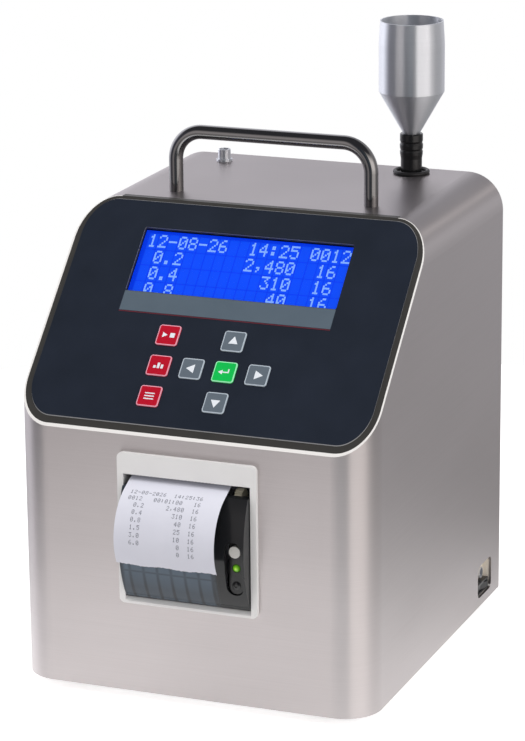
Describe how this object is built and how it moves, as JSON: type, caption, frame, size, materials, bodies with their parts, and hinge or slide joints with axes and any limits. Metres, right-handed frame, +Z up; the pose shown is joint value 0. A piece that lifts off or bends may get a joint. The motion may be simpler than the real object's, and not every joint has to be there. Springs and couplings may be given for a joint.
{
  "type": "airborne particle counter",
  "caption": "Benchtop airborne particle counter: brushed steel case with a sloped keypad and display, a front strip printer, a carry handle and a funnel sampling probe.",
  "frame": {"origin": "middle of the unit's bounding box, on the surface its rubber feet stand on", "axes": "+Z up; the keypad and printer face -Y; +X to the right as seen from the front"},
  "size_m": [0.205, 0.2554, 0.3435],
  "materials": {
    "brushed_stainless": "brushed along its width",
    "plated_sheet": "satin zinc plate",
    "polished_steel": "polished",
    "fastener_steel": "bright",
    "turned_steel": "fine turned",
    "black_rubber": "satin",
    "bezel_charcoal": "satin charcoal",
    "overlay_navy": "fine satin film",
    "key_red": "satin",
    "key_grey": "satin",
    "key_green": "satin",
    "clear_window": "clear",
    "display_black": "satin",
    "display_blue": "lit from behind",
    "circuit_green": "lacquered",
    "brass": "turned",
    "printer_white": "fine satin",
    "bucket_black": "matt",
    "door_smoke": "smoked, semi-clear",
    "platen_rubber": "ground",
    "gear_ivory": "moulded",
    "head_aluminium": "anodised",
    "paper": "smooth thermal paper",
    "control_black": "gloss",
    "button_white": "satin",
    "lamp_green": "lit",
    "screw_black": "black oxide",
    "recess_beige": "fine satin",
    "switch_black": "satin",
    "optic_black": "black anodised",
    "cast_grey": "cast",
    "filter_white": "moulded",
    "battery_blue": "shrunk sleeve"
  },
  "bodies": {
    "casing": {"cover_shell": "brushed_stainless", "base_plate": "plated_sheet", "rear_panel": "brushed_stainless", "base_screws": "fastener_steel", "rear_screws": "fastener_steel", "rubber_feet": "black_rubber", "foot_screws": "fastener_steel", "carry_handle": "polished_steel", "handle_screws": "fastener_steel", "panel_bezel": "bezel_charcoal", "keypad_overlay": "overlay_navy", "display_window": "clear_window", "lcd_frame": "display_black", "lcd_glass": "display_blue", "lcd_board": "circuit_green", "keypad_board": "circuit_green", "standoffs": "brass", "printer_frame": "printer_white", "printer_bucket": "bucket_black", "door_hinge_pins": "fastener_steel", "print_head": "head_aluminium", "tear_bar": "fastener_steel", "printer_motor": "cast_grey", "paper_roll": "paper", "control_block": "control_black", "status_led": "lamp_green", "control_screw": "screw_black", "isokinetic_probe": "turned_steel", "inlet_tube": "black_rubber", "inlet_barb": "fastener_steel", "inlet_grommet": "black_rubber", "rh_socket": "turned_steel", "top_nuts": "brass", "recess_pan": "recess_beige", "charger_jack": "turned_steel", "power_switch_body": "switch_black", "sensor_bracket": "plated_sheet", "optical_block": "optic_black", "laser_module": "brass", "sample_tube": "black_rubber", "air_hose": "black_rubber", "blower": "cast_grey", "exhaust_filter": "filter_white", "battery_pack": "battery_blue", "main_board": "circuit_green"},
    "door": {"printer_door": "door_smoke", "paper_strip": "paper"},
    "platen": {"platen_roller": "platen_rubber", "platen_shaft": "fastener_steel", "platen_gear": "gear_ivory"},
    "key_start_stop": {"key_start_stop": "key_red"},
    "key_data": {"key_data": "key_red"},
    "key_menu_esc": {"key_menu_esc": "key_red"},
    "key_up": {"key_up": "key_grey"},
    "key_left": {"key_left": "key_grey"},
    "key_enter": {"key_enter": "key_green"},
    "key_right": {"key_right": "key_grey"},
    "key_down": {"key_down": "key_grey"},
    "feed_button": {"feed_button": "button_white"},
    "power_rocker": {"power_rocker": "switch_black"}
  },
  "joints": [
    {"name": "key_start_stop_press", "type": "slide", "parent": "casing", "child": "key_start_stop", "axis": [0, 0.7003, -0.7138], "range_m": [0, 0.0005], "stiffness_N_per_m": 2000, "springref_m": -0.0004},
    {"name": "key_data_press", "type": "slide", "parent": "casing", "child": "key_data", "axis": [0, 0.7003, -0.7138], "range_m": [0, 0.0005], "stiffness_N_per_m": 2000, "springref_m": -0.0004},
    {"name": "key_menu_esc_press", "type": "slide", "parent": "casing", "child": "key_menu_esc", "axis": [0, 0.7003, -0.7138], "range_m": [0, 0.0005], "stiffness_N_per_m": 2000, "springref_m": -0.0004},
    {"name": "key_up_press", "type": "slide", "parent": "casing", "child": "key_up", "axis": [0, 0.7003, -0.7138], "range_m": [0, 0.0005], "stiffness_N_per_m": 2000, "springref_m": -0.0004},
    {"name": "key_left_press", "type": "slide", "parent": "casing", "child": "key_left", "axis": [0, 0.7003, -0.7138], "range_m": [0, 0.0005], "stiffness_N_per_m": 2000, "springref_m": -0.0004},
    {"name": "key_enter_press", "type": "slide", "parent": "casing", "child": "key_enter", "axis": [0, 0.7003, -0.7138], "range_m": [0, 0.0005], "stiffness_N_per_m": 2000, "springref_m": -0.0004},
    {"name": "key_right_press", "type": "slide", "parent": "casing", "child": "key_right", "axis": [0, 0.7003, -0.7138], "range_m": [0, 0.0005], "stiffness_N_per_m": 2000, "springref_m": -0.0004},
    {"name": "key_down_press", "type": "slide", "parent": "casing", "child": "key_down", "axis": [0, 0.7003, -0.7138], "range_m": [0, 0.0005], "stiffness_N_per_m": 2000, "springref_m": -0.0004},
    {"name": "feed_button_press", "type": "slide", "parent": "casing", "child": "feed_button", "axis": [0, 1, 0], "range_m": [0, 0.0008], "stiffness_N_per_m": 1000, "springref_m": -0.0005},
    {"name": "printer_door_hinge", "type": "hinge", "parent": "casing", "child": "door", "pos_m": [0, -0.104, 0.0632], "axis": [1, 0, 0], "range_deg": [0, 70]},
    {"name": "platen_spin", "type": "hinge", "parent": "door", "child": "platen", "pos_m": [0, -0.098, 0.12], "axis": [1, 0, 0], "continuous": true},
    {"name": "power_rocker_tilt", "type": "hinge", "parent": "casing", "child": "power_rocker", "pos_m": [0.0976, 0.0965, 0.0136], "axis": [0, 0, 1], "range_deg": [0, 14]}
  ]
}
